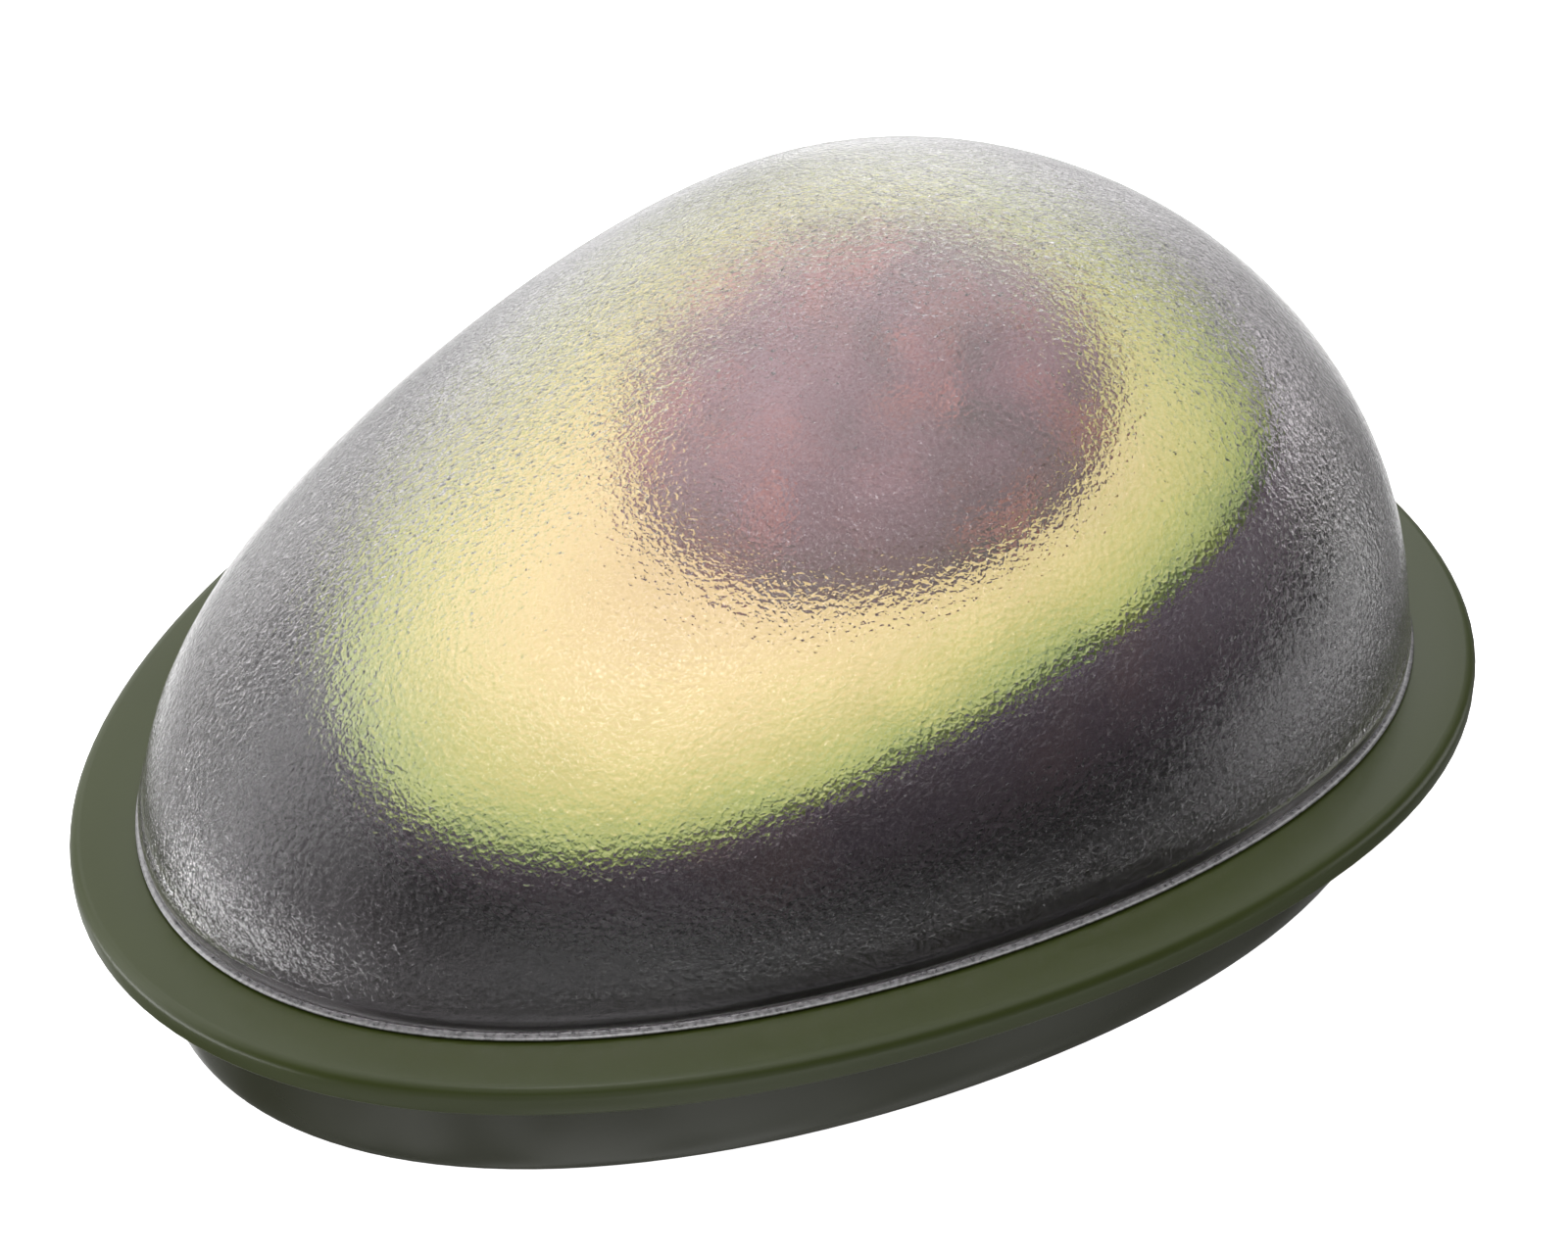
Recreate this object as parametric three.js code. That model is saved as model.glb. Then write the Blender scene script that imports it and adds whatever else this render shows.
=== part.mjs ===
// An avocado half in its saver: an egg-shaped tray with a flat rim, a clear domed lid standing on
// the rim, and in the tray the half with its skin, flesh and seed. Millimetres, +Z up, +X to the
// blunt end. The origin is under the middle of the foot, on the surface that the tray stands on.
import * as THREE from "three";
import { ParametricGeometry } from "three/addons/geometries/ParametricGeometry.js";

// Tray
const rimLength = 138;
const rimWidth = 108.34;
const rimThick = 2.8;
const rimEdge = 1.1; // rounding of the rim's outer edge
const bowlDepth = 12.7; // from the rim's underside to the foot
const bowlInset = 6.4; // from the rim's edge in to the bowl's outer wall
const bowlSquare = 3.5; // superellipse power of the bowl's section
const footScale = 0.95; // the foot's outline over the bowl's top outline
const footShift = -2.35; // the foot stands a little towards the narrow end
const wall = 2.2;
const rimTop = bowlDepth + rimThick;

// Lid
const lidInset = 6.4; // from the rim's edge in to the lid's outer wall
const lidHeight = 36.04; // over the middle of the rim
const lidRise = 0.3215; // the dome climbs towards the blunt end
const lidRise2 = 0.2472;
const lidWall = 1.6;
const beadOut = 0.3; // the bead round the lid's lower edge
const beadHigh = 1.1;
const gap = 0.3; // between pieces that rest on each other

// Avocado half
const faceLength = 92.6;
const faceWidth = 68;
const faceAt = new THREE.Vector3(1.7, 0.3, 16); // middle of the cut face, over the rim's top
const faceRoll = 4; // degrees
const facePitch = -14; // degrees, blunt end raised
const halfDepth = 30.35; // from the cut face to the underside, at the middle
const halfTaper = 0.72; // how much deeper the half is towards the blunt end
const backSquare = 2.7; // superellipse power of the back's section
const backLean = 3; // the back's lowest part lies a little towards the blunt end
const backSwell = 3.5; // how much fuller the sides are than the cut face
const skinThick = 1.1;
const seedRadius = 21.5;
const seedLength = 1.05; // the seed's length over its width
const seedHigh = 11.5; // over the cut face
const seedDeep = 18; // under it
const seedX = 14; // on the cut face, from its middle
const seedY = 1.6;

// An egg outline: half width grows towards the blunt end, at angle t, moved in by inset.
const egg = { length: rimLength, width: rimWidth, blunt: 0.1943, blunt2: 0.1063 };
const fruit = { length: faceLength, width: faceWidth, blunt: 0.23, blunt2: 0.28 };

function eggPoint(shape, t) {
  const c = Math.cos(t);
  const half = (shape.width / 2) * (1 + shape.blunt * c + shape.blunt2 * c * c);
  return new THREE.Vector2((shape.length / 2) * c, half * Math.sin(t));
}

function outline(shape, t, inset) {
  const step = 1e-3;
  const along = eggPoint(shape, t + step).sub(eggPoint(shape, t - step)).normalize();
  return eggPoint(shape, t).add(new THREE.Vector2(-along.y, along.x).multiplyScalar(inset));
}

// A closed body through rings; each ring gives its point at the angle t.
function bodyThrough(rings, around) {
  const last = rings.length - 1;
  const surface = (u, v, target) => target.copy(rings[Math.round(v * last)](-u * 2 * Math.PI));
  return new ParametricGeometry(surface, around, last);
}

// A ring of an outline moved in by inset, shrunk by scale and moved along x.
function ring(shape, inset, z, scale = 1, shift = 0) {
  return (t) => {
    const p = outline(shape, t, inset);
    return new THREE.Vector3(p.x * scale + shift, p.y * scale, z);
  };
}

function steps(count, from, to) {
  return Array.from({ length: count + 1 }, (_, i) => from + ((to - from) * i) / count);
}

// Rings down the bowl's section from its top edge to the foot.
function bowlRings(inset, top, depth, count) {
  return steps(count, 0, Math.PI / 2).map((a) => {
    const scale = footScale + (1 - footScale) * Math.cos(a) ** (2 / bowlSquare);
    const shift = (footShift * (1 - scale)) / (1 - footScale);
    return ring(egg, inset, top - depth * Math.sin(a) ** (2 / bowlSquare), scale, shift);
  });
}

function trayBody() {
  const foot = ring(egg, bowlInset, 0, 0, footShift);
  const floor = ring(egg, bowlInset, wall, 0, footShift);
  const edge = steps(3, Math.PI / 2, 0).map((a) =>
    ring(egg, rimEdge * (1 - Math.cos(a)), rimTop - rimEdge * (1 - Math.sin(a))),
  );
  return bodyThrough(
    [
      floor,
      ...bowlRings(bowlInset + wall, rimTop, rimTop - wall, 9).reverse(),
      ...edge,
      ring(egg, 0, bowlDepth + 0.3),
      ring(egg, 0.3, bowlDepth),
      ...bowlRings(bowlInset, bowlDepth, bowlDepth, 9),
      foot,
    ],
    60,
  );
}

// The dome's height over the rim at x, for a shell whose crown stands high.
function domeHeight(x, high) {
  const u = x / (rimLength / 2 - lidInset);
  return high * (1 + lidRise * u + lidRise2 * u * u);
}

function domeRings(inset, high, base, count) {
  return steps(count, Math.PI / 2, 0).map((a) => (t) => {
    const p = outline(egg, t, inset).multiplyScalar(Math.cos(a));
    return new THREE.Vector3(p.x, p.y, base + Math.sin(a) * domeHeight(p.x, high));
  });
}

function lidBody() {
  const base = rimTop + gap;
  const outer = domeRings(lidInset, lidHeight - gap, base, 11);
  const inner = domeRings(lidInset + lidWall, lidHeight - gap - lidWall, base, 11);
  outer.pop();
  return bodyThrough(
    [
      ...outer,
      ring(egg, lidInset, base + beadHigh),
      ring(egg, lidInset - beadOut, base + beadHigh * 0.75),
      ring(egg, lidInset - beadOut, base + beadHigh * 0.25),
      ring(egg, lidInset, base),
      ...inner.reverse(),
    ],
    60,
  );
}

// The half's full, rounded back: deepest under the blunt end, moved in by inset.
function backRings(inset, count) {
  return steps(count, 0, Math.PI / 2).map((a) => {
    const wide = Math.cos(a) ** (2 / backSquare);
    const down = Math.sin(a) ** (2 / backSquare);
    const swell = backSwell * Math.sin(2 * a);
    return (t) => {
      const p = outline(fruit, t, inset - swell).multiplyScalar(wide);
      const deep = (halfDepth - inset) * (1 + (halfTaper * p.x) / faceLength);
      return new THREE.Vector3(p.x + backLean * down, p.y, -down * deep);
    };
  });
}

function skinBody() {
  return bodyThrough([...backRings(skinThick, 11).reverse(), ...backRings(0, 11)], 48);
}

// The socket holds the seed's lower half; the cut face is flat round it.
function seedRing(radius, z) {
  return (t) =>
    new THREE.Vector3(
      seedX + radius * seedLength * Math.cos(t),
      seedY + radius * Math.sin(t),
      z,
    );
}

function seedRings(radius, high, from, to, count) {
  return steps(count, from, to).map((a) => seedRing(radius * Math.cos(a), high * Math.sin(a)));
}

function fleshBody() {
  const socket = seedRings(seedRadius + gap, seedDeep + gap, -Math.PI / 2, 0, 7);
  return bodyThrough([...socket, ...backRings(skinThick + gap, 11)], 48);
}

function seedBody() {
  const over = seedRings(seedRadius, seedHigh, Math.PI / 2, 0, 6);
  const under = seedRings(seedRadius, seedDeep, 0, -Math.PI / 2, 7);
  return bodyThrough([...over, ...under.slice(1)], 32);
}

function piece(name, geometry, look) {
  const mesh = new THREE.Mesh(geometry, new THREE.MeshStandardMaterial(look));
  mesh.name = name;
  return mesh;
}

const saver = new THREE.Group();
saver.add(piece("tray", trayBody(), { color: 0x47502f, roughness: 0.45, metalness: 0 }));
saver.add(
  piece("dome_lid", lidBody(), {
    color: 0xe8ecec,
    roughness: 0.25,
    metalness: 0,
    transparent: true,
    opacity: 0.3,
  }),
);

const half = new THREE.Group();
half.add(piece("avocado_skin", skinBody(), { color: 0x2b2428, roughness: 0.55, metalness: 0 }));
half.add(piece("avocado_flesh", fleshBody(), { color: 0xe6d995, roughness: 0.5, metalness: 0 }));
half.add(piece("avocado_seed", seedBody(), { color: 0x7d5a50, roughness: 0.6, metalness: 0 }));
half.position.copy(faceAt).setZ(faceAt.z + rimTop);
half.rotation.order = "YXZ";
half.rotation.set(THREE.MathUtils.degToRad(faceRoll), THREE.MathUtils.degToRad(facePitch), 0);
saver.add(half);

export default saver;
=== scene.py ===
import math

import bmesh
import bpy
from mathutils import Euler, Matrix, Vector


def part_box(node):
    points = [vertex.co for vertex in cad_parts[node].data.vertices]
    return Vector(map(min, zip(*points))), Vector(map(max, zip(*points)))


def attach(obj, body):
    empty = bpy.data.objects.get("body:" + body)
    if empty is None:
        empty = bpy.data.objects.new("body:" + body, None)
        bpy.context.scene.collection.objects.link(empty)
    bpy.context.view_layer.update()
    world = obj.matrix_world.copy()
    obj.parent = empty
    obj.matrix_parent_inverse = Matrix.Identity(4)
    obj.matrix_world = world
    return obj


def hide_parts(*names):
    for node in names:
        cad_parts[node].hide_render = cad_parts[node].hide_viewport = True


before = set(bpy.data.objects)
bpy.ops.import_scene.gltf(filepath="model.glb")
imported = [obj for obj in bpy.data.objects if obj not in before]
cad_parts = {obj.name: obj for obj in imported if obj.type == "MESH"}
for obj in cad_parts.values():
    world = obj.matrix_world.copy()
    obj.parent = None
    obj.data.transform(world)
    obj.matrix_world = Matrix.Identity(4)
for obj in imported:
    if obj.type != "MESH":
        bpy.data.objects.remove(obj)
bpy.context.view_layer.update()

trayLow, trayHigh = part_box("tray")
rimTop = trayHigh.z
mm = 0.001
body = "root"  # the part has no joints

# Tray, lid and fruit have egg outlines: the half width grows towards the blunt end, +X.
saverEgg = {
    "length": trayHigh.x - trayLow.x,
    "width": 108.33 * mm,
    "blunt": 0.1943,
    "blunter": 0.1063,
}
fruitEgg = {
    "length": 92.6 * mm,
    "width": 68 * mm,
    "blunt": 0.23,
    "blunter": 0.28,
}


# outlines and rings: a ring is a function from a turn to a place

def eggPoint(egg, turn):
    c = math.cos(turn)
    halfWidth = egg["width"] / 2 * (1 + egg["blunt"] * c + egg["blunter"] * c * c)
    return Vector((egg["length"] / 2 * c, halfWidth * math.sin(turn), 0))


def eggInset(egg, turn, inset):
    step = 0.001
    along = (eggPoint(egg, turn + step) - eggPoint(egg, turn - step)).normalized()
    return eggPoint(egg, turn) + Vector((-along.y, along.x, 0)) * inset


def eggRing(egg, inset, z, scale=1.0, shift=0.0):
    def at(turn):
        p = eggInset(egg, turn, inset) * scale
        return Vector((p.x + shift, p.y, z))
    return at


def spread(count, start, end):
    return [start + (end - start) * i / count for i in range(count + 1)]


def clearSelection():
    if bpy.context.object and bpy.context.object.mode != "OBJECT":
        bpy.ops.object.mode_set(mode="OBJECT")
    bpy.ops.object.select_all(action="DESELECT")


def drawBody(name, rings, around):
    # a circle is extruded from ring to ring; each vertex keeps its place round the ring
    clearSelection()
    bpy.ops.mesh.primitive_circle_add(vertices=around, radius=0.01)
    piece = bpy.context.object
    piece.name = name
    bpy.ops.object.mode_set(mode="EDIT")
    bm = bmesh.from_edit_mesh(piece.data)
    place = bm.verts.layers.int.new("place")
    for v in bm.verts:
        v[place] = round(math.atan2(v.co.y, v.co.x) / (2 * math.pi) * around) % around
        v.co = rings[0](2 * math.pi * v[place] / around)
    bmesh.update_edit_mesh(piece.data)
    for ring in rings[1:]:
        bpy.ops.mesh.extrude_edges_move()
        bm = bmesh.from_edit_mesh(piece.data)
        place = bm.verts.layers.int["place"]
        for v in bm.verts:
            if v.select:
                v.co = ring(2 * math.pi * v[place] / around)
        bmesh.update_edit_mesh(piece.data)
    bpy.ops.mesh.select_all(action="SELECT")
    bpy.ops.mesh.remove_doubles(threshold=1e-6)
    bpy.ops.mesh.normals_make_consistent(inside=False)
    bpy.ops.mesh.faces_shade_smooth()
    bpy.ops.object.mode_set(mode="OBJECT")
    return piece


def applyModifier(piece, kind, **values):
    clearSelection()
    piece.select_set(True)
    bpy.context.view_layer.objects.active = piece
    made = piece.modifiers.new(kind.title(), kind)
    for key, value in values.items():
        setattr(made, key, value)
    bpy.ops.object.modifier_apply(modifier=made.name)


def smoother(piece, levels):
    applyModifier(piece, "SUBSURF", levels=levels, render_levels=levels)


def layDown(piece, turn, place):
    # turns a body drawn about its own middle into its place, and settles it there
    clearSelection()
    piece.select_set(True)
    bpy.context.view_layer.objects.active = piece
    piece.rotation_euler = turn
    piece.location = place
    bpy.ops.object.transform_apply(location=True, rotation=True, scale=True)


def settle(piece, node, material):
    piece.data.materials.clear()
    piece.data.materials.append(material)
    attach(piece, body)
    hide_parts(node)


def pointValues(piece, name, values):
    # one number for each vertex
    piece.data.attributes.new(name, "FLOAT", "POINT").data.foreach_set("value", values)


# shader helpers

def newMaterial(name):
    material = bpy.data.materials.new(name)
    material.use_nodes = True
    tree = material.node_tree
    return material, tree, tree.nodes["Principled BSDF"]


def addNode(tree, kind, inputs=None, **settings):
    node = tree.nodes.new("ShaderNode" + kind)
    for key, value in settings.items():
        setattr(node, key, value)
    for key, value in (inputs or {}).items():
        if isinstance(value, bpy.types.NodeSocket):
            tree.links.new(value, node.inputs[key])
        else:
            node.inputs[key].default_value = value
    return node


def ramp(tree, fac, stops):
    node = addNode(tree, "ValToRGB", {"Fac": fac})
    band = node.color_ramp
    while len(band.elements) > 1:
        band.elements.remove(band.elements[-1])
    band.elements[0].position, band.elements[0].color = stops[0][0], (*stops[0][1], 1)
    for at, colour in stops[1:]:
        band.elements.new(at).color = (*colour, 1)
    return node.outputs["Color"]


def mixColour(tree, fac, a, b, blend="MIX"):
    node = addNode(tree, "Mix", data_type="RGBA", blend_type=blend)
    for key, value in (("Factor", fac), ("A", a), ("B", b)):
        socket = next(s for s in node.inputs if s.name == key and s.enabled)
        if isinstance(value, bpy.types.NodeSocket):
            tree.links.new(value, socket)
        else:
            socket.default_value = value
    return next(s for s in node.outputs if s.enabled)


def maths(tree, operation, *values):
    inputs = dict(enumerate(values))
    return addNode(tree, "Math", inputs, operation=operation).outputs[0]


def scaled(tree, value, factor, offset=0.0):
    return maths(tree, "MULTIPLY_ADD", value, factor, offset)


def grainGroup():
    # grain: a noise of the given size in metres, centred on zero
    group = bpy.data.node_groups.new("Grain", "ShaderNodeTree")
    face = group.interface
    for name in ("Size", "Detail", "Distortion"):
        face.new_socket(name, in_out="INPUT", socket_type="NodeSocketFloat")
    face.new_socket("Value", in_out="OUTPUT", socket_type="NodeSocketFloat")
    into = group.nodes.new("NodeGroupInput")
    out = group.nodes.new("NodeGroupOutput")
    coords = group.nodes.new("ShaderNodeTexCoord")
    perMetre = group.nodes.new("ShaderNodeMath")
    perMetre.operation = "DIVIDE"
    perMetre.inputs[0].default_value = 1.0
    pattern = group.nodes.new("ShaderNodeTexNoise")
    centred = group.nodes.new("ShaderNodeMath")
    centred.operation = "SUBTRACT"
    centred.inputs[1].default_value = 0.5
    group.links.new(into.outputs["Size"], perMetre.inputs[1])
    group.links.new(coords.outputs["Object"], pattern.inputs["Vector"])
    group.links.new(perMetre.outputs[0], pattern.inputs["Scale"])
    group.links.new(into.outputs["Detail"], pattern.inputs["Detail"])
    group.links.new(into.outputs["Distortion"], pattern.inputs["Distortion"])
    group.links.new(pattern.outputs["Fac"], centred.inputs[0])
    group.links.new(centred.outputs[0], out.inputs["Value"])
    return group


def grain(tree, size, detail=2.0, distortion=0.0):
    node = tree.nodes.new("ShaderNodeGroup")
    node.node_tree = grainTree
    node.inputs["Size"].default_value = size
    node.inputs["Detail"].default_value = detail
    node.inputs["Distortion"].default_value = distortion
    return node.outputs["Value"]


def roughen(tree, height, depth):
    node = addNode(tree, "Bump", {"Height": height, "Distance": depth, "Strength": 1.0})
    return node.outputs["Normal"]


grainTree = grainGroup()


# tray: one green moulding, a flat rim over a shallow bowl

tray = {
    "rimThick": 2.8 * mm,
    "topRound": 1.1 * mm,
    "underRound": 0.45 * mm,
    "bowlInset": 6.4 * mm,
    "bowlSquare": 3.5,  # superellipse power of the bowl's section
    "footScale": 0.95,
    "footShift": -2.35 * mm,
    "footShares": (0.85, 0.6, 0.3, 0),  # rings that close the flat foot
    "wall": 2.2 * mm,
    "mouthDrop": 0.4 * mm,  # from the rim's top to where the bowl's inside starts
    "mouthRound": 0.5 * mm,
    "flatInset": 4 * mm,  # a ring part way over the rim's top
    "filletUnder": 0.8 * mm,  # where the bowl leaves the rim
    "insideSteps": 14,
    "outsideSteps": 18,
    "around": 144,
    "colour": (0.029, 0.038, 0.0060),
    "deepTone": 0.84,  # share of the colour in its darkest clouds
    "hollowShadeColour": (0.020, 0.018, 0.019),  # the bowl's inside: painted shade, where the half shades it
    # painted shade: the bowl's outside, under the rim, darker and greyer than the rim's colour
    "bowlShadeColour": (0.025, 0.027, 0.015),
    "cloudSize": 18 * mm,
    "speckSize": 0.35 * mm,
    "speckDepth": 0.005 * mm,
    "satin": 0.33,  # roughness of the rim
    "gloss": 0.20,  # and of the bowl
    "shine": 0.30,
}


def bowlRings(inset, top, low, count):
    power = 2 / tray["bowlSquare"]
    rings = []
    for a in spread(count, 0, math.pi / 2):
        scale = tray["footScale"] + (1 - tray["footScale"]) * math.cos(a) ** power
        shift = tray["footShift"] * (1 - scale) / (1 - tray["footScale"])
        z = top + (low - top) * math.sin(a) ** power
        rings.append(eggRing(saverEgg, inset, z, scale, shift))
    return rings


def footRings(inset, z):
    shift = tray["footShift"]
    return [eggRing(saverEgg, inset, z, share, shift) for share in tray["footShares"]]


def makeTray():
    under = rimTop - tray["rimThick"]
    top, low = tray["topRound"], tray["underRound"]
    inner = tray["bowlInset"] + tray["wall"]
    rings = footRings(inner, tray["wall"])[::-1]
    inside = bowlRings(inner, rimTop - tray["mouthDrop"], tray["wall"], tray["insideSteps"])
    rings += inside[::-1]
    rings += [
        eggRing(saverEgg, inner - 0.1 * mm, rimTop - 0.1 * mm),
        eggRing(saverEgg, inner - tray["mouthRound"], rimTop),
        eggRing(saverEgg, tray["flatInset"], rimTop),
    ]
    for a in spread(5, math.pi / 2, 0):
        z = rimTop - top * (1 - math.sin(a))
        rings.append(eggRing(saverEgg, top * (1 - math.cos(a)), z))
    for a in spread(4, 0, math.pi / 2):
        z = under + low * (1 - math.sin(a))
        rings.append(eggRing(saverEgg, low * (1 - math.cos(a)), z))
    rings.append(eggRing(saverEgg, tray["bowlInset"] - tray["filletUnder"], under))
    rings += bowlRings(tray["bowlInset"], under, 0, tray["outsideSteps"])[1:]
    rings += footRings(tray["bowlInset"], 0)
    return drawBody("tray_moulding", rings, tray["around"])


def markTray(piece):
    # the first mask is 1 inside the bowl, where painted shade darkens it; the second, bowl, is
    # 1 on its outside, which is glossier and also gets painted shade
    under = rimTop - tray["rimThick"]
    facing = 0.1  # how far a face must lean to count
    wallFoot = 8 * mm  # above this the inside is all wall
    shadedHollow, bowl = [], []
    for v in piece.data.vertices:
        outwards = v.normal.dot(Vector((v.co.x, v.co.y, 0)).normalized())
        inside = outwards < -facing or (v.co.z <= wallFoot and v.normal.z > facing)
        inside = inside and v.co.z < rimTop - 0.2 * mm
        shadedHollow.append(1.0 if inside else 0.0)
        bowl.append(1.0 if v.co.z < under - 0.05 * mm and not inside else 0.0)
    pointValues(piece, "shadedHollow", shadedHollow)
    pointValues(piece, "bowl", bowl)


def trayPlastic():
    material, tree, shader = newMaterial("olive moulded plastic")
    shadedHollow = addNode(tree, "Attribute", attribute_name="shadedHollow").outputs["Fac"]
    bowl = addNode(tree, "Attribute", attribute_name="bowl").outputs["Fac"]
    cloud = grain(tree, tray["cloudSize"], 3.0)
    speck = grain(tree, tray["speckSize"], 2.0)
    deep = tuple(c * tray["deepTone"] for c in tray["colour"])
    tone = mixColour(tree, scaled(tree, cloud, 1.6, 0.5), (*deep, 1), (*tray["colour"], 1))
    # painted shade: the bowl's outside is darker and greyer under the rim
    tone = mixColour(tree, bowl, tone, (*tray["bowlShadeColour"], 1))
    # painted shade: the bowl's inside is darker, where the half shades it
    tone = mixColour(tree, shadedHollow, tone, (*tray["hollowShadeColour"], 1))
    tree.links.new(tone, shader.inputs["Base Color"])
    cloudy = scaled(tree, cloud, 0.12, tray["satin"])
    rough = maths(tree, "ADD", cloudy, scaled(tree, speck, 0.10))
    gloss = scaled(tree, bowl, tray["gloss"] - tray["satin"])
    tree.links.new(maths(tree, "ADD", rough, gloss), shader.inputs["Roughness"])
    tree.links.new(roughen(tree, speck, tray["speckDepth"]), shader.inputs["Normal"])
    shader.inputs["Specular IOR Level"].default_value = tray["shine"]
    return material


trayPiece = makeTray()
markTray(trayPiece)
settle(trayPiece, "tray", trayPlastic())
print("tray made")


# lid: a clear shell, pebbled outside, with a smooth collar and a rounded bead below it

lid = {
    "inset": 6.4 * mm,  # from the rim's edge in to the lid's wall
    "high": 35.98 * mm,
    "rise": 0.3215,  # the dome climbs towards the blunt end
    "rise2": 0.2472,
    "wall": 1.6 * mm,
    "footRound": 0.3 * mm,  # where the wall's inside meets its lower edge
    "stand": 0.05 * mm,  # over the rim
    "around": 112,
    "outerRings": 34,
    "innerRings": 9,
    "waveSize": 2.2 * mm,
    "waveDepth": 0.03 * mm,
    "pebbleSize": 0.50 * mm,
    "pebbleDepth": 0.14 * mm,
    "smoothBand": 1.8 * mm,  # over the rim, where the pebbles start
    "bandFade": 0.6 * mm,
    "tint": (0.985, 0.955, 0.975),
    "clear": (0.93, 0.93, 0.94),  # what passes of lamps and bounced light
    "roughness": 0.1,
    "bend": 1.4,  # index of refraction
}
collar = {
    "high": 2.1 * mm,
    "out": 0.22 * mm,
    # its shoulder from the top down: height over the collar's top, share of its stand-out
    "shoulder": ((0.35 * mm, 0), (0.15 * mm, 0.15), (-0.1 * mm, 0.8), (-0.4 * mm, 1)),
    "lip": 0.25 * mm,  # from the bead up to where the collar turns in
}
bead = {
    "out": 0.55 * mm,
    "high": 0.36 * mm,
    "deep": 0.5 * mm,  # how far it is let into the wall
    "gap": 0.03 * mm,  # left round its back and top
    "dark": (0.035, 0.034, 0.035),
    "light": (0.12, 0.115, 0.118),
}


def domeRings(inset, high, base, count):
    halfLength = saverEgg["length"] / 2 - lid["inset"]

    def ringAt(a):
        def at(turn):
            p = eggInset(saverEgg, turn, inset) * math.cos(a)
            u = p.x / halfLength
            climb = 1 + lid["rise"] * u + lid["rise2"] * u * u
            return Vector((p.x, p.y, base + math.sin(a) * high * climb))
        return at
    return [ringAt(a) for a in spread(count, math.pi / 2, 0)]


def makeLid():
    base, high = rimTop + lid["stand"], lid["high"] - lid["stand"]
    wall, step = lid["inset"] + lid["wall"], lid["inset"] + bead["deep"]
    rings = domeRings(lid["inset"], high, base, lid["outerRings"])[:-2]
    for rise, share in collar["shoulder"]:
        inset = lid["inset"] - share * collar["out"]
        rings.append(eggRing(saverEgg, inset, base + collar["high"] + rise))
    beadTop = base + bead["high"]
    rings += [
        eggRing(saverEgg, lid["inset"] - collar["out"], beadTop + collar["lip"]),
        eggRing(saverEgg, lid["inset"] + 0.1 * mm, beadTop + 0.05 * mm),
        eggRing(saverEgg, step, beadTop + bead["gap"]),
        eggRing(saverEgg, step, base + 0.1 * mm),
        eggRing(saverEgg, step + 0.1 * mm, base),
        eggRing(saverEgg, wall - lid["footRound"], base),
        eggRing(saverEgg, wall, base + lid["footRound"]),
    ]
    inner = domeRings(wall, high - lid["wall"], base, lid["innerRings"])
    rings += inner[::-1][1:]
    return drawBody("lid_dome", rings, lid["around"])


def makeBead():
    # a rounded ring let into the lid's lower edge
    base, middle = rimTop + lid["stand"], bead["high"] / 2
    back = lid["inset"] + bead["deep"] - bead["gap"]
    rings = [eggRing(saverEgg, back, base + 0.05 * mm)]
    for a in spread(8, -math.pi / 2, math.pi / 2):
        inset = lid["inset"] - bead["out"] * math.cos(a)
        rings.append(eggRing(saverEgg, inset, base + middle * (1 + math.sin(a))))
    rings.append(eggRing(saverEgg, back, base + bead["high"]))
    return drawBody("lid_bead", rings + rings[:1], lid["around"] * 2)


def wavyLid(piece):
    # the pebbled part swells and dips a little; the collar and the inside stay smooth
    outside = piece.vertex_groups.new(name="outside")
    start = rimTop + lid["smoothBand"]
    fade = 2 * mm
    for v in piece.data.vertices:
        facing = v.normal.dot(Vector((v.co.x, v.co.y, v.co.z - rimTop)))
        if facing > 0 and v.co.z > start:
            outside.add([v.index], min(1.0, (v.co.z - start) / fade), "REPLACE")
    waves = bpy.data.textures.new("lidWaves", "CLOUDS")
    waves.noise_scale = lid["waveSize"]
    waves.noise_depth = 1
    applyModifier(
        piece, "DISPLACE", texture=waves, texture_coords="LOCAL", vertex_group="outside",
        strength=lid["waveDepth"] * 2, mid_level=1.0,
    )


def lidPlastic():
    material, tree, shader = newMaterial("clear pebbled plastic")
    place = addNode(tree, "TexCoord").outputs["Object"]
    height = addNode(tree, "SeparateXYZ", {0: place}).outputs["Z"]
    start = rimTop + lid["smoothBand"]
    band = {"Value": height, "From Min": start, "From Max": start + lid["bandFade"]}
    pebbled = addNode(tree, "MapRange", band).outputs["Result"]
    pebbles = maths(tree, "MULTIPLY", grain(tree, lid["pebbleSize"], 1.0, 0.4), pebbled)
    tree.links.new(roughen(tree, pebbles, lid["pebbleDepth"]), shader.inputs["Normal"])
    shader.inputs["Base Color"].default_value = (*lid["tint"], 1)
    shader.inputs["Roughness"].default_value = lid["roughness"]
    shader.inputs["IOR"].default_value = lid["bend"]
    shader.inputs["Transmission Weight"].default_value = 1.0
    # lamps and bounced light pass straight through, so that what is inside is lit evenly
    path = addNode(tree, "LightPath").outputs
    straight = maths(tree, "MAXIMUM", path["Is Shadow Ray"], path["Is Diffuse Ray"])
    clear = addNode(tree, "BsdfTransparent", {"Color": (*lid["clear"], 1)})
    both = addNode(tree, "MixShader", {0: straight, 1: shader.outputs[0], 2: clear.outputs[0]})
    tree.links.new(both.outputs[0], tree.nodes["Material Output"].inputs["Surface"])
    return material


def beadPlastic():
    material, tree, shader = newMaterial("frosted lid edge")
    speck = grain(tree, lid["pebbleSize"], 2.0)
    stops = [(0.2, bead["dark"]), (0.7, bead["light"])]
    tone = ramp(tree, scaled(tree, speck, 1.6, 0.5), stops)
    tree.links.new(tone, shader.inputs["Base Color"])
    tree.links.new(scaled(tree, speck, 0.2, 0.22), shader.inputs["Roughness"])
    tree.links.new(roughen(tree, speck, 0.02 * mm), shader.inputs["Normal"])
    shader.inputs["Specular IOR Level"].default_value = 1.0
    shader.inputs["Coat Weight"].default_value = 1.0
    shader.inputs["Coat Roughness"].default_value = 0.2
    return material


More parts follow.
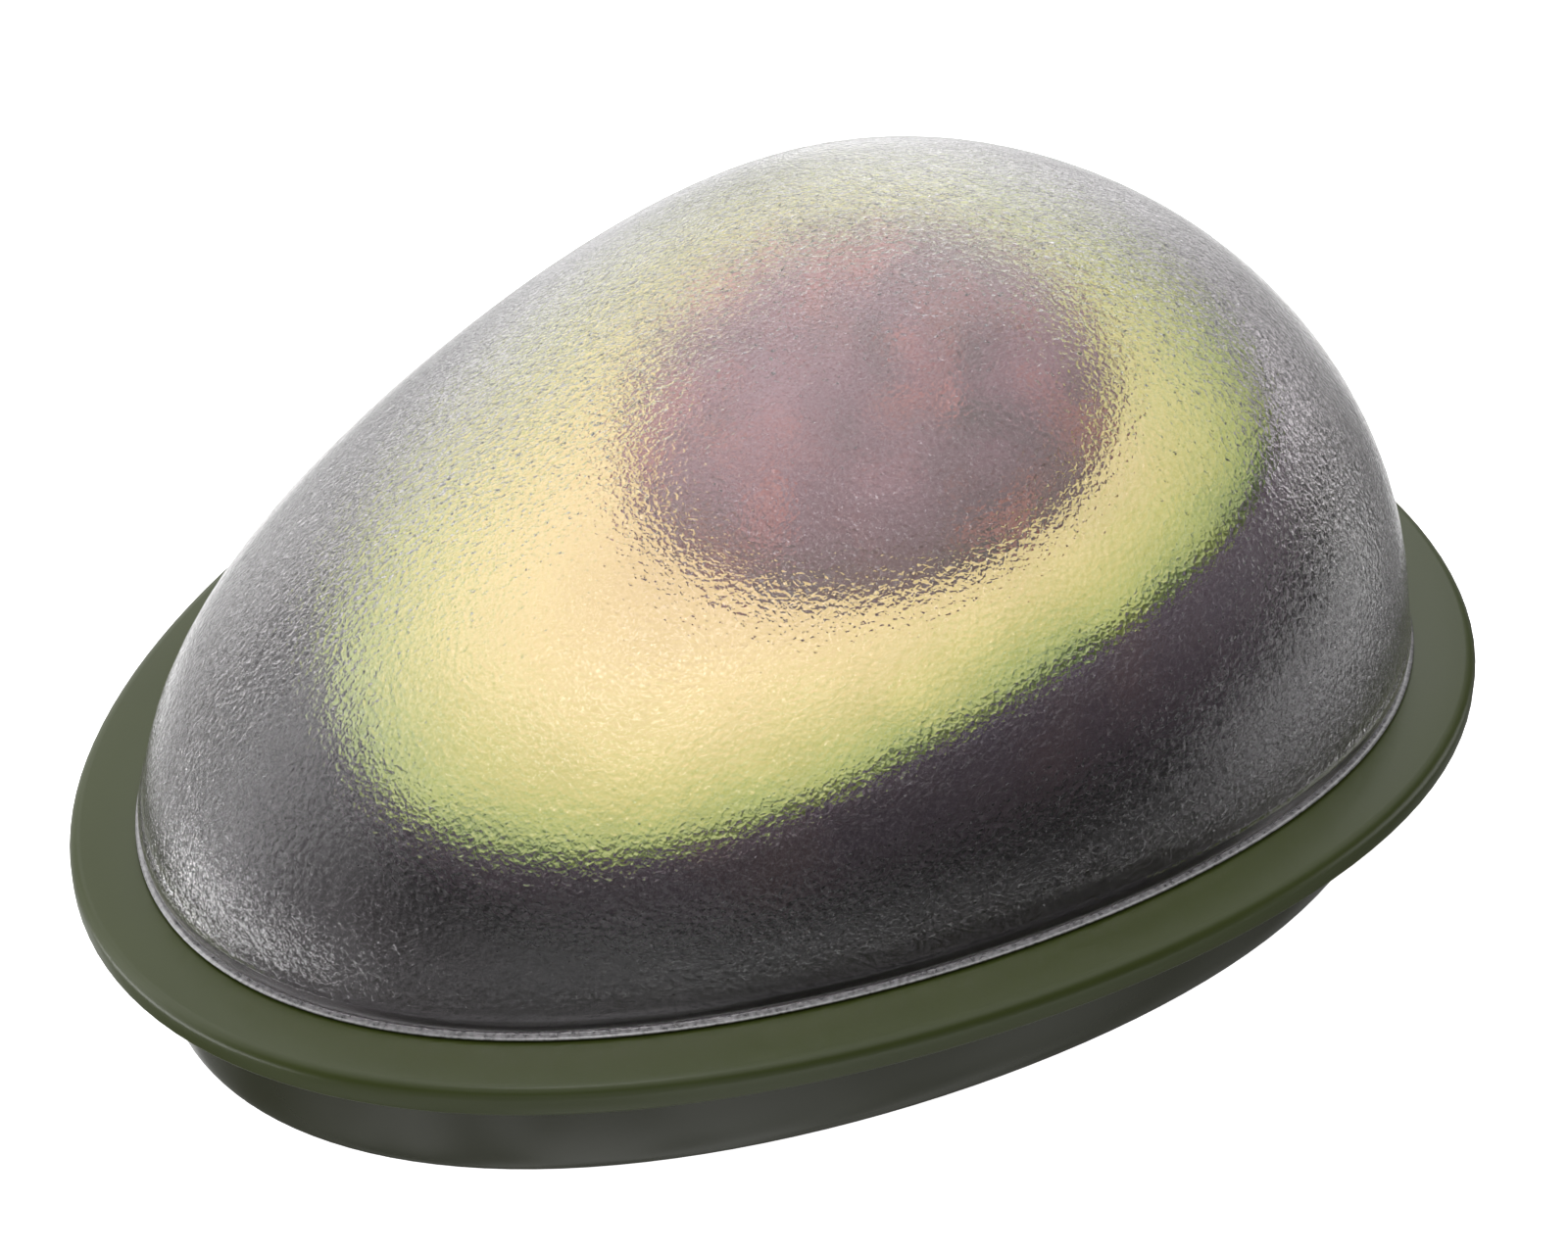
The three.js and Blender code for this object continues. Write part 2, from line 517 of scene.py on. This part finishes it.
lidPiece = makeLid()
smoother(lidPiece, 2)
wavyLid(lidPiece)
settle(lidPiece, "dome_lid", lidPlastic())
beadPiece = makeBead()
settle(beadPiece, "dome_lid", beadPlastic())
print("lid made,", len(lidPiece.data.polygons), "faces")


# the avocado half, drawn about the middle of its cut face and then laid in the tray

half = {
    "middle": Vector((1.7 * mm, 0.3 * mm, rimTop + 16 * mm)),  # of the cut face
    "turn": Euler((math.radians(4), math.radians(-14), 0)),  # blunt end raised
    "depth": 30.35 * mm,  # from the cut face to the underside, at the middle
    "taper": 0.72,  # how much deeper it is towards the blunt end
    "square": 2.7,  # superellipse power of the back's section
    "swell": 3.5 * mm,  # how much fuller the sides are than the cut face
    "lean": 3 * mm,  # how far the back's lowest part lies towards the blunt end
    "skin": 1.1 * mm,
    "around": 96,
}
seed = {
    "radius": 21.5 * mm,
    "long": 1.05,  # its length over its width
    "high": 11.5 * mm,  # over the cut face
    "deep": 18 * mm,
    "along": 14 * mm,  # from the middle of the face to the blunt end
    "across": 1.6 * mm,
    "around": 64,
}
flesh = {
    "socketWide": 0.2 * mm,  # room round the seed
    "socketDeep": 0.3 * mm,
    "lipOut": 1.3 * mm,  # the socket's rounded edge
    "edgeRound": 0.4 * mm,
    "faceRings": 14,
    "paleMove": 0.14,  # how far patches move the green edge
    # colours from the seed out to the skin
    "tones": [
        (0.30, (0.66, 0.48, 0.19)),
        (0.52, (0.72, 0.56, 0.22)),
        (0.68, (0.63, 0.53, 0.18)),
        (0.80, (0.49, 0.46, 0.115)),
        (0.91, (0.31, 0.36, 0.07)),
        (0.985, (0.13, 0.20, 0.035)),
    ],
}


def backRing(inset, a):
    wide = max(math.cos(a), 0) ** (2 / half["square"])
    down = math.sin(a) ** (2 / half["square"])
    swell = half["swell"] * math.sin(2 * a)

    def at(turn):
        p = eggInset(fruitEgg, turn, inset - swell) * wide
        deep = (half["depth"] - inset) * (1 + half["taper"] * p.x / fruitEgg["length"])
        return Vector((p.x + half["lean"] * down, p.y, -down * deep))
    return at


def backRings(inset, count):
    return [backRing(inset, a) for a in spread(count, 0, math.pi / 2)]


def seedRing(radius, z):
    def at(turn):
        x = seed["along"] + radius * seed["long"] * math.cos(turn)
        return Vector((x, seed["across"] + radius * math.sin(turn), z))
    return at


def seedRings(radius, high, start, end, count):
    angles = spread(count, start, end)
    return [seedRing(radius * math.cos(a), high * math.sin(a)) for a in angles]


def faceRing(share):
    # between the socket's edge and the skin
    def at(turn):
        inside = seedRing(seed["radius"] + flesh["lipOut"], 0)(turn)
        outside = eggInset(fruitEgg, turn, half["skin"] + flesh["edgeRound"])
        return inside.lerp(outside, share)
    return at


def faceShare(p):
    # share of the way from the middle of the cut face out to the skin, 0 to 1
    turn = math.atan2(p.y / fruitEgg["width"], p.x / fruitEgg["length"])
    for _ in range(3):
        edge = eggPoint(fruitEgg, turn)
        turn += math.atan2(p.y, p.x) - math.atan2(edge.y, edge.x)
    edge = eggPoint(fruitEgg, turn)
    return math.hypot(p.x, p.y) / math.hypot(edge.x, edge.y)


def makeSkin():
    inner, outer = backRings(half["skin"], 12), backRings(0, 16)
    return drawBody("half_skin", inner[::-1] + outer, half["around"])


def makeFlesh():
    radius, deep = seed["radius"], seed["deep"] + flesh["socketDeep"]
    socketTop = -0.12
    rings = seedRings(radius + flesh["socketWide"], deep, -math.pi / 2, socketTop, 10)
    rings += [seedRing(radius + 0.5 * mm, -0.2 * mm), seedRing(radius + flesh["lipOut"], 0)]
    rings += [faceRing(share) for share in spread(flesh["faceRings"], 0.06, 0.98)]
    rings.append(eggRing(fruitEgg, half["skin"] + 0.12 * mm, -0.12 * mm))
    rings += backRings(half["skin"] + 0.05 * mm, 14)[1:]
    return drawBody("half_flesh", rings, half["around"])


def makeSeed():
    rings = seedRings(seed["radius"], seed["high"], math.pi / 2, 0, 14)
    rings += seedRings(seed["radius"], seed["deep"], 0, -math.pi / 2, 12)[1:]
    return drawBody("seed", rings, seed["around"])


def sculpt(piece, name, size, depth, detail=2):
    swell = bpy.data.textures.new(name, "CLOUDS")
    swell.noise_scale = size
    swell.noise_depth = detail
    applyModifier(
        piece, "DISPLACE", texture=swell, texture_coords="LOCAL",
        strength=depth, mid_level=0.5,
    )


def skinLook():
    material, tree, shader = newMaterial("avocado skin")
    knobs = grain(tree, 2.4 * mm, 3.0, 0.6)
    cloud = grain(tree, 14 * mm, 3.0)
    base = ramp(tree, scaled(tree, cloud, 1.5, 0.5), [
        (0.25, (0.046, 0.035, 0.052)),
        (0.6, (0.076, 0.056, 0.074)),
        (0.85, (0.110, 0.068, 0.070)),
    ])
    knobTone = (0.085, 0.060, 0.068, 1)
    tone = mixColour(tree, scaled(tree, knobs, 2.2, 0.4), base, knobTone)
    tree.links.new(tone, shader.inputs["Base Color"])
    tree.links.new(scaled(tree, knobs, 0.3, 0.5), shader.inputs["Roughness"])
    tree.links.new(roughen(tree, knobs, 0.5 * mm), shader.inputs["Normal"])
    shader.inputs["Specular IOR Level"].default_value = 0.25
    return material


def fleshLook():
    material, tree, shader = newMaterial("avocado flesh")
    share = addNode(tree, "Attribute", attribute_name="faceShare").outputs["Fac"]
    patch = grain(tree, 9 * mm, 3.0, 0.5)
    moved = maths(tree, "ADD", share, scaled(tree, patch, flesh["paleMove"]))
    tone = ramp(tree, moved, flesh["tones"])
    fleck = ramp(tree, scaled(tree, grain(tree, 5 * mm, 4.0), 1.0, 0.5), [
        (0.35, (0.86, 0.84, 0.80)),
        (0.6, (1.0, 1.0, 1.0)),
    ])
    tree.links.new(mixColour(tree, 0.6, tone, fleck, "MULTIPLY"), shader.inputs["Base Color"])
    fine = grain(tree, 0.8 * mm, 3.0)
    tree.links.new(scaled(tree, fine, 0.25, 0.42), shader.inputs["Roughness"])
    tree.links.new(roughen(tree, fine, 0.05 * mm), shader.inputs["Normal"])
    return material


def seedLook():
    material, tree, shader = newMaterial("avocado seed coat")
    cloud = grain(tree, 11 * mm, 3.0, 1.0)
    warm = grain(tree, 7 * mm, 4.0, 1.2)
    base = ramp(tree, scaled(tree, cloud, 1.6, 0.5), [
        (0.2, (0.076, 0.044, 0.038)),
        (0.5, (0.155, 0.074, 0.084)),
        (0.8, (0.235, 0.118, 0.130)),
    ])
    patchStops = [(0.56, (0, 0, 0)), (0.88, (1, 1, 1))]
    patches = ramp(tree, scaled(tree, warm, 2.0, 0.5), patchStops)
    patchTone = (0.36, 0.12, 0.092, 1)
    tree.links.new(mixColour(tree, patches, base, patchTone), shader.inputs["Base Color"])
    fine = grain(tree, 1.3 * mm, 3.0)
    tree.links.new(scaled(tree, fine, 0.3, 0.55), shader.inputs["Roughness"])
    tree.links.new(roughen(tree, fine, 0.12 * mm), shader.inputs["Normal"])
    return material


skinPiece = makeSkin()
smoother(skinPiece, 1)
sculpt(skinPiece, "skinKnobs", 2.6 * mm, 0.12 * mm)
layDown(skinPiece, half["turn"], half["middle"])
settle(skinPiece, "avocado_skin", skinLook())

fleshPiece = makeFlesh()
smoother(fleshPiece, 1)
pointValues(fleshPiece, "faceShare", [faceShare(v.co) for v in fleshPiece.data.vertices])
sculpt(fleshPiece, "fleshDents", 9 * mm, 0.25 * mm)
layDown(fleshPiece, half["turn"], half["middle"])
settle(fleshPiece, "avocado_flesh", fleshLook())

seedPiece = makeSeed()
smoother(seedPiece, 1)
sculpt(seedPiece, "seedDents", 8 * mm, 0.8 * mm)
layDown(seedPiece, half["turn"], half["middle"])
settle(seedPiece, "avocado_seed", seedLook())
print("avocado half made")


# studio: pale floor, soft surround, soft lamps and the camera

studio = {
    "dim": 0.2,  # strength of the surround where nothing is lit
    # soft bright parts: turn, lift, how near a direction must be to get some and all, strength
    "glows": [
        (160, 85, 0.4, 1.0, 1.7),
        (155, -10, 0.5, 1.0, 1.05),
        (-36, -38, 0.5, 1.0, 0.9),
        (-136, 18, 0.82, 0.97, 2.4),
        (142, 30, 0.78, 1.0, 0.65),
    ],
    "patchScale": 5.0,  # the surround is uneven, as a real room is
    "patchRange": (0.38, 0.62),
    "patchStrength": (0.5, 1.5),
    # soft lamps: name, turn, lift, width, height, power
    "lamps": [
        ("key", -165, 46, 0.5, 0.5, 0.88),
        ("top", -42, 82, 0.2, 0.2, 0.5),
        ("left", -120, -19, 1.0, 0.17, 2.9),
        ("front", 0, -30, 1.5, 0.06, 0.6),
        ("right", 58, -8, 0.7, 0.34, 0.85),
        ("near", -40, 10, 0.7, 0.25, 0.3),
    ],
    "lampDistance": 0.8,
    "floorSize": 6,
    "floorColour": (0.9, 0.9, 0.9),
    "aim": Vector((-8.784 * mm, -13.175 * mm, rimTop + 15 * mm)),
    "turn": -41.965,
    "lift": 35.635,
    "distance": 321.36 * mm,
    "lens": 84.254,
}


def fromTurn(turn, lift):
    a, e = math.radians(turn), math.radians(lift)
    return Vector((math.sin(a) * math.cos(e), -math.cos(a) * math.cos(e), math.sin(e)))


def lookIn(name, data, turn, lift, distance):
    # stands a lamp or camera at a distance from the aim, facing it
    holder = bpy.data.objects.new(name, data)
    bpy.context.scene.collection.objects.link(holder)
    way = fromTurn(turn, lift)
    holder.location = studio["aim"] + way * distance
    holder.rotation_euler = way.to_track_quat("Z", "Y").to_euler()
    return holder


def softLamp(name, turn, lift, wide, high, power):
    lamp = bpy.data.lights.new(name, "AREA")
    lamp.shape = "ELLIPSE"
    lamp.size = wide
    lamp.size_y = high
    lamp.energy = power
    lookIn(name, lamp, turn, lift, studio["lampDistance"])


def makeFloor():
    # plain white, and seen by the camera only
    clearSelection()
    bpy.ops.mesh.primitive_plane_add(size=studio["floorSize"], location=(0, 0, 0))
    floor = bpy.context.object
    floor.name = "floor"
    material, tree, shader = newMaterial("pale floor")
    shader.inputs["Base Color"].default_value = (*studio["floorColour"], 1)
    shader.inputs["Emission Color"].default_value = (1, 1, 1, 1)
    shader.inputs["Emission Strength"].default_value = 1.0
    floor.data.materials.append(material)
    floor.visible_diffuse = False
    floor.visible_glossy = False
    floor.visible_transmission = False
    floor.visible_shadow = False


def glow(sky, way, turn, lift, start, end, strength):
    # brightness that grows towards one direction
    nearness = addNode(
        sky, "VectorMath", {0: way, 1: fromTurn(turn, lift)}, operation="DOT_PRODUCT"
    ).outputs["Value"]
    limits = {"From Min": start, "From Max": end, "To Min": 0, "To Max": strength}
    return addNode(
        sky, "MapRange", {"Value": nearness, **limits}, interpolation_type="SMOOTHSTEP"
    ).outputs["Result"]


def makeSurround():
    # the camera sees it plain white; everything else sees soft glows and patches
    world = bpy.data.worlds.new("surround")
    world.use_nodes = True
    sky = world.node_tree
    way = addNode(sky, "TexCoord").outputs["Generated"]
    total = studio["dim"]
    for part in studio["glows"]:
        total = maths(sky, "ADD", total, glow(sky, way, *part))
    noise = {"Vector": way, "Scale": studio["patchScale"], "Detail": 1.0}
    patches = addNode(sky, "TexNoise", noise).outputs["Fac"]
    (low, high), (dark, light) = studio["patchRange"], studio["patchStrength"]
    limits = {"From Min": low, "From Max": high, "To Min": dark, "To Max": light}
    uneven = addNode(sky, "MapRange", {"Value": patches, **limits}).outputs["Result"]
    total = maths(sky, "MULTIPLY", total, uneven)
    seen = addNode(sky, "LightPath").outputs["Is Camera Ray"]
    total = maths(sky, "MAXIMUM", total, seen)
    sky.links.new(total, sky.nodes["Background"].inputs["Strength"])
    sky.nodes["Background"].inputs["Color"].default_value = (1, 1, 1, 1)
    bpy.context.scene.world = world


def makeCamera():
    camera = bpy.data.cameras.new("camera")
    camera.lens = studio["lens"]
    camera.sensor_width = 36
    camera.clip_start = 0.01
    turn, lift = studio["turn"], studio["lift"]
    bpy.context.scene.camera = lookIn("camera", camera, turn, lift, studio["distance"])


makeFloor()
makeSurround()
for lamp in studio["lamps"]:
    softLamp(*lamp)
makeCamera()
bpy.context.scene.view_settings.view_transform = "Standard"
print("studio made")
